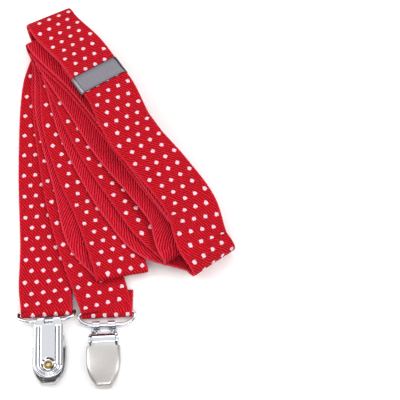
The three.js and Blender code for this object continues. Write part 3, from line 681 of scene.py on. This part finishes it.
def sheet_mesh(grid, thickness, extra_grids=()):
    """A sheet through rows of points, made solid away from its outward side."""
    coords, faces = [], []
    for rows in (grid, *extra_grids):
        base = len(coords)
        width = len(rows[0])
        coords += [point for row in rows for point in row]
        for i in range(len(rows) - 1):
            for k in range(width - 1):
                a = base + i * width + k
                faces.append((a, a + 1, a + width + 1, a + width))
    mesh = bpy.data.meshes.new("sheet")
    mesh.from_pydata(coords, [], faces)
    solid = bmesh.new()
    solid.from_mesh(mesh)
    bmesh.ops.remove_doubles(solid, verts=solid.verts, dist=0.02)
    solid.to_mesh(mesh)
    solid.free()
    maker = bpy.data.objects.new("maker", mesh)
    bpy.context.scene.collection.objects.link(maker)
    wall = maker.modifiers.new("wall", "SOLIDIFY")
    wall.thickness = thickness
    wall.offset = -1
    edge = maker.modifiers.new("edge", "BEVEL")
    edge.width = 0.12
    edge.segments = 2
    edge.limit_method = "ANGLE"
    edge.angle_limit = math.radians(50)
    graph = bpy.context.evaluated_depsgraph_get()
    made = bpy.data.meshes.new_from_object(maker.evaluated_get(graph))
    bpy.data.objects.remove(maker)
    return made


def plate_mesh():
    arc_y = CLIP_LENGTH - PLATE_HALF
    rows = []
    tops = [(0, None), (0, 0.75), (0, 0.5), (0, 0.25), *PLATE_SECTION]
    for inward, height in tops:
        half = PLATE_HALF - inward
        start = 3.2 - 3.2 * min(1, inward / (PLATE_HALF - CURL_HALF))
        if half < SLOT_HALF:
            start = 2.3
        ys = [start + (arc_y - start) * k / 60 for k in range(61)]
        row = []
        for y in ys:
            row.append((-half, y, height))
        for k in range(1, 32):
            angle = math.pi - math.pi * k / 32
            row.append((half * math.cos(angle), arc_y + half * math.sin(angle), height))
        for y in reversed(ys):
            row.append((half, y, height))
        flanged = []
        for x, y, z in row:
            if inward == 0:
                rise = flange_height(y) * (1 - 0.35 * smooth_step(y, arc_y, CLIP_LENGTH))
                z = rise if z is None else 1 + (rise - 1) * z
            else:
                from_eyelet = math.hypot(x, y - EYELET_Y)
                dent = 1.0 * (1 - smooth_step(from_eyelet, 2.3, 3.3))
                groove = z if half > 3.0 or from_eyelet > 3.6 else 0
                z = max(groove * smooth_step(y, 2.4, 3.4) if inward > 0.9 else z, dent)
            flanged.append((x, y, z))
        rows.append(flanged)
    curls = []
    for side in (-1, 1):
        curl = []
        for k in range(29):
            angle = math.radians(-90 - 215 * k / 28)
            y = CURL_RADIUS * math.cos(angle)
            z = CURL_RADIUS + CURL_RADIUS * math.sin(angle)
            xs = [side * SLOT_HALF + side * (CURL_HALF - SLOT_HALF) * j / 4 for j in range(5)]
            curl.append([(x, y, z) for x in (xs if side > 0 else reversed(xs))])
        curls.append(curl)
    return sheet_mesh(rows, SHEET, curls)


for n in (1, 2):
    plate = piece(f"clip_{n}_plate", finished(plate_mesh(), clip_places[n], f"plate_{n}"), chrome)
    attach(plate, f"clip_{n}")
    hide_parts(f"clip_{n}_back_plate")


# ---- Hinge pins: hollow steel rivets, chromed. Each is pushed through the plate's two ears
# and spread at both ends, so that the lever turns on it.
PIN_HALF = 6.9


def lathe(profile, sides=40):
    """A closed profile of (radius, height) turned about Z."""
    coords, faces = [], []
    count = len(profile)
    for k in range(sides):
        angle = 2 * math.pi * k / sides
        for radius, height in profile:
            coords.append((radius * math.cos(angle), radius * math.sin(angle), height))
        for i in range(count):
            a, b = k * count, ((k + 1) % sides) * count
            n = (i + 1) % count
            faces.append((a + i, b + i, b + n, a + n))
    mesh = bpy.data.meshes.new("turned")
    mesh.from_pydata(coords, [], faces)
    solid = bmesh.new()
    solid.from_mesh(mesh)
    bmesh.ops.remove_doubles(solid, verts=solid.verts, dist=0.001)
    bmesh.ops.dissolve_degenerate(solid, dist=0.0005, edges=solid.edges)
    bmesh.ops.recalc_face_normals(solid, faces=solid.faces)
    solid.to_mesh(mesh)
    solid.free()
    return mesh


half_pin = [(0.45, PIN_HALF - 0.8), (0.5, PIN_HALF - 0.1), (0.75, PIN_HALF), (1.2, PIN_HALF - 0.05),
            (1.4, PIN_HALF - 0.2), (1.0, PIN_HALF - 0.28)]
pin_profile = [(0, PIN_HALF - 0.8), *half_pin, *[(r, -h) for r, h in reversed(half_pin)],
               (0, -(PIN_HALF - 0.8))]
across_x = Matrix.Rotation(math.pi / 2, 4, "Y")
for n in (1, 2):
    pin_place = clip_places[n] @ Matrix.Translation(Vector((0, HINGE_Y, HINGE_Z)) * MM) @ across_x
    rivet = piece(f"clip_{n}_pin", finished(lathe(pin_profile), pin_place, f"pin_{n}"), chrome)
    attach(rivet, f"clip_{n}")
    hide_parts(f"clip_{n}_hinge_pin")


# ---- Grip pads: moulded off-white plastic with teeth, matt from the mould. They keep the
# part's solid shape.
# acetal straight from the mould: off-white, with a faint grain that keeps it matt
pad_plastic, pad_shader = new_material("moulded acetal")
pad_coords = shader(pad_plastic, "ShaderNodeTexCoord").outputs["Object"]
pad_grain = shader(pad_plastic, "ShaderNodeTexNoise", Vector=pad_coords, Scale=4000.0, Detail=2.0)
pad_bump = shader(pad_plastic, "ShaderNodeBump", Strength=0.4, Distance=0.02 * MM,
                  Height=pad_grain.outputs["Fac"])
pad_plastic.node_tree.links.new(pad_bump.outputs[0], pad_shader.inputs["Normal"])
pad_shader.inputs["Base Color"].default_value = linear("#e6e2d8")
pad_shader.inputs["Roughness"].default_value = 0.5
for n in (1, 2):
    pad = frame["nodes"][f"clip_{n}_grip_pad"]
    pad.data.materials.clear()
    pad.data.materials.append(pad_plastic)


# ---- Eyelets: brass tube rivets that hold the pads in the plates' dimples, rolled over at the back, in a dark brass colour.
# dark brass: one even colour, dull, with uneven roughness
brass = metal("worn brass", "#8f6f2c", 0.34, 2.5, 0.01, wear=0.5)
EYELET_PROFILE = [(0, 3.2), (0.75, 1.3), (0.8, 0.7), (0.95, 0.45), (1.25, 0.34), (1.6, 0.42),
                  (1.8, 0.66), (1.6, 0.78), (1.3, 0.82), (1.3, 3.4), (1.6, 3.5), (1.9, 3.62),
                  (1.5, 3.72), (1.1, 3.66), (0, 3.5)]
for n in (1, 2):
    eyelet_place = clip_places[n] @ Matrix.Translation(Vector((0, EYELET_Y, 0)) * MM)
    eyelet = piece(f"clip_{n}_eyelet_tube", finished(lathe(EYELET_PROFILE), eyelet_place,
                                                     f"eyelet_{n}"), brass)
    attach(eyelet, f"clip_{n}")
    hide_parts(f"clip_{n}_eyelet")


# ---- Levers: chromed steel rolled into a cam round the pin, with a tongue that runs out under
# the cover and presses on the grip pad.
CAM_RADIUS = 2.9
LEVER_HALF = 5.5
COVER_HALF = 7.7
TIP_HALF = 3
COVER_START = HINGE_Y + 3.8
COVER_END = CLIP_LENGTH + 2.4
COVER_TOP = HINGE_Z + CAM_RADIUS + 0.5
TIP_HEIGHT = 4.6
LIP = 2.2


def bezier(a, b, c, d, t):
    return a * (1 - t) ** 3 + 3 * b * t * (1 - t) ** 2 + 3 * c * t * t * (1 - t) + d * t ** 3


def cover_half(y):
    """Half of the cover's width at y."""
    shoulder = COVER_START + 5
    if y <= shoulder:
        return COVER_HALF
    low, high = 0, 1
    for _ in range(30):
        t = (low + high) / 2
        if bezier(shoulder, shoulder + 8, COVER_END - 3, COVER_END, t) < y:
            low = t
        else:
            high = t
    return bezier(COVER_HALF, COVER_HALF, TIP_HALF + 2.4, TIP_HALF, low)


def cover_height(y):
    """Height of the cover's back at y, on a curve that falls towards the tip."""
    start, end = COVER_START - 1, COVER_END + 1
    bend = (start + end) / 2 + 3
    a, b, c = start - 2 * bend + end, 2 * (bend - start), start - y
    t = (-b + math.sqrt(max(0, b * b - 4 * a * c))) / (2 * a)
    return COVER_TOP * (1 - t) ** 2 + (COVER_TOP + 0.6) * 2 * t * (1 - t) + TIP_HEIGHT * t * t


def lever_mesh():
    """The tongue, as a sheet that leaves the rolled cam."""
    rows = []
    steps = 36
    for k in range(steps + 1):
        angle = math.radians(230 - 320 * k / steps)
        rows.append((HINGE_Y + CAM_RADIUS * math.cos(angle), HINGE_Z + CAM_RADIUS * math.sin(angle)))
    roll = [[(x, y, z) for x in (-LEVER_HALF, -LEVER_HALF * 0.5, 0, LEVER_HALF * 0.5, LEVER_HALF)]
            for y, z in rows]
    start, end = HINGE_Y + 1.2, COVER_END - 1.4
    tongue = []
    for k in range(25):
        y = start + (end - start) * k / 24
        z = cover_height(max(y, COVER_START - 0.9)) - 1.15
        half = min(LEVER_HALF, cover_half(max(y, COVER_START)) - 1.4)
        tongue.append([(half * s, y, z) for s in (-1, -0.5, 0, 0.5, 1)])
    return sheet_mesh(roll, SHEET, [tongue])


for n in (1, 2):
    lever = piece(f"clip_{n}_lever_sheet", finished(lever_mesh(), clip_places[n], f"lever_{n}"),
                  chrome)
    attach(lever, f"lever_{n}")
    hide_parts(f"clip_{n}_lever")


# ---- Covers: the clips' fronts, drawn from thin steel sheet with a turned-down rim, brushed
# lengthways and plated with satin nickel.
COVER_CROWN = 0.55
# distance in from the rim, fall of the surface there
COVER_SECTION = [(0.0, 0.8 + LIP), (0.01, 2.0), (0.03, 1.3), (0.1, 0.85), (0.28, 0.5), (0.55, 0.26),
                 (0.95, 0.1), (1.5, 0.02), (2.2, 0.0)]


def cover_fall(distance):
    for (a, fall_a), (b, fall_b) in zip(COVER_SECTION, COVER_SECTION[1:]):
        if distance <= b:
            return fall_a + (fall_b - fall_a) * (distance - a) / (b - a)
    return 0


def cover_mesh():
    rims = [distance for distance, _ in COVER_SECTION]
    inner_end = COVER_END - rims[-1]
    ys = [COVER_START + (inner_end - COVER_START) * k / 30 for k in range(30)]
    ys += [COVER_END - distance for distance in reversed(rims)]
    rows = []
    for y in ys:
        half = cover_half(min(y, COVER_END - 0.001))
        near = [min(distance, half * 0.9) for distance in rims]
        inner = half - near[-1]
        xs = [-(half - d) for d in near] + [inner * (k / 6 - 1) for k in range(1, 12)]
        xs += [half - d for d in reversed(near)]
        row = []
        for x in xs:
            side_fall = cover_fall(half - abs(x))
            end_fall = cover_fall(COVER_END - y)
            crown = COVER_CROWN * (x / COVER_HALF) ** 2
            row.append((x, y, cover_height(y) - max(side_fall, end_fall) - crown))
        rows.append(row)
    return sheet_mesh(rows, SHEET)


# satin nickel: brushed along the clip, so the marks are long and close, 0.25 mm apart
satin_nickel = metal("brushed satin nickel", "#b2aeac", 0.34, 1.4, 0.09, stretch=(4, 0.7, 1),
                     wear=0.3)
for n in (1, 2):
    cover = piece(f"clip_{n}_front_cover", finished(cover_mesh(), clip_places[n], f"cover_{n}"),
                  satin_nickel)
    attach(cover, f"lever_{n}")
    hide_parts(f"clip_{n}_cover")


# ---- Adjuster slide: a cover of 0.6 mm steel with its ends folded down round two cross bars,
# plated with satin nickel. It grips the running webbing against the bars.
SLIDE_LENGTH = 11
SLIDE_HALF = STRAP_WIDTH / 2 + 0.3 + 0.6
SLIDE_WALL = 0.6
SLIDE_BAR = 1
SLIDE_BEND = 2.3
SLIDE_DEPTH = 3.9
slide_face = next(m for m in frame["record"]["mounts"] if m["name"] == "slide_face")
slide_back = Vector(joints["slide_travel"]["axis"])
slide_place = basis(slide_face["pos_m"], Vector((slide_back.y, -slide_back.x, 0)), slide_back)


def slide_cover_mesh():
    """The folded cover, its flat face on z = 0."""
    bend = SLIDE_BEND
    section = []
    for k in range(5):
        drop = (SLIDE_DEPTH - bend + SLIDE_WALL) * k / 5
        section.append((-SLIDE_HALF, -(SLIDE_WALL + SLIDE_DEPTH) + drop))
    for k in range(9):
        angle = math.radians(180 - 90 * k / 8)
        section.append((-(SLIDE_HALF - bend) + bend * math.cos(angle),
                        -bend + bend * math.sin(angle)))
    section += [((SLIDE_HALF - bend) * (k / 8 - 1), 0) for k in range(1, 8)]
    section += [(0, 0)]
    section += [(-x, z) for x, z in reversed(section[:-1])]
    half = SLIDE_LENGTH / 2
    ys = [(-half, 0.3), (-half + 0.15, 0.1), (-half + 0.5, 0), (-half * 0.4, 0), (half * 0.4, 0),
          (half - 0.5, 0), (half - 0.15, 0.1), (half, 0.3)]
    rows = [[(x, y, z - (fall if abs(x) < SLIDE_HALF - 0.4 else 0)) for x, z in section]
            for y, fall in ys]
    return sheet_mesh(rows, SLIDE_WALL - 0.05)


def rod(length, diameter):
    half, radius = length / 2, diameter / 2
    return lathe([(0, -half), (radius - 0.1, -half), (radius, -half + 0.1), (radius, half - 0.1),
                  (radius - 0.1, half), (0, half)], 28)


# the same satin nickel as the covers with painted shade: a darker colour than theirs, with fine marks across it
slide_nickel_painted_shade = metal("satin nickel slide, painted shade", "#66646b", 0.3, 1.2, 0.02, stretch=(0.6, 3, 1), wear=0.25)
slide_cover = piece("slide_folded_cover", finished(slide_cover_mesh(), slide_place, "slide"),
                    slide_nickel_painted_shade)
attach(slide_cover, "slide")
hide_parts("slide_cover")
bar_depth = SLIDE_WALL + 0.3 + STRAP_THICK + 0.3 + SLIDE_BAR / 2
bar_reach = SLIDE_LENGTH / 2 - SLIDE_BAR
for node, y, depth in (("slide_sewn_bar", bar_reach, bar_depth + PITCH),
                       ("slide_grip_bar", -bar_reach, bar_depth)):
    bar_place = slide_place @ Matrix.Translation(Vector((0, y, -depth)) * MM) @ across_x
    bar = piece(node + "_rod", finished(rod(2 * SLIDE_HALF, SLIDE_BAR), bar_place, node),
                slide_nickel_painted_shade)
    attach(bar, "slide")
    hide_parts(node)
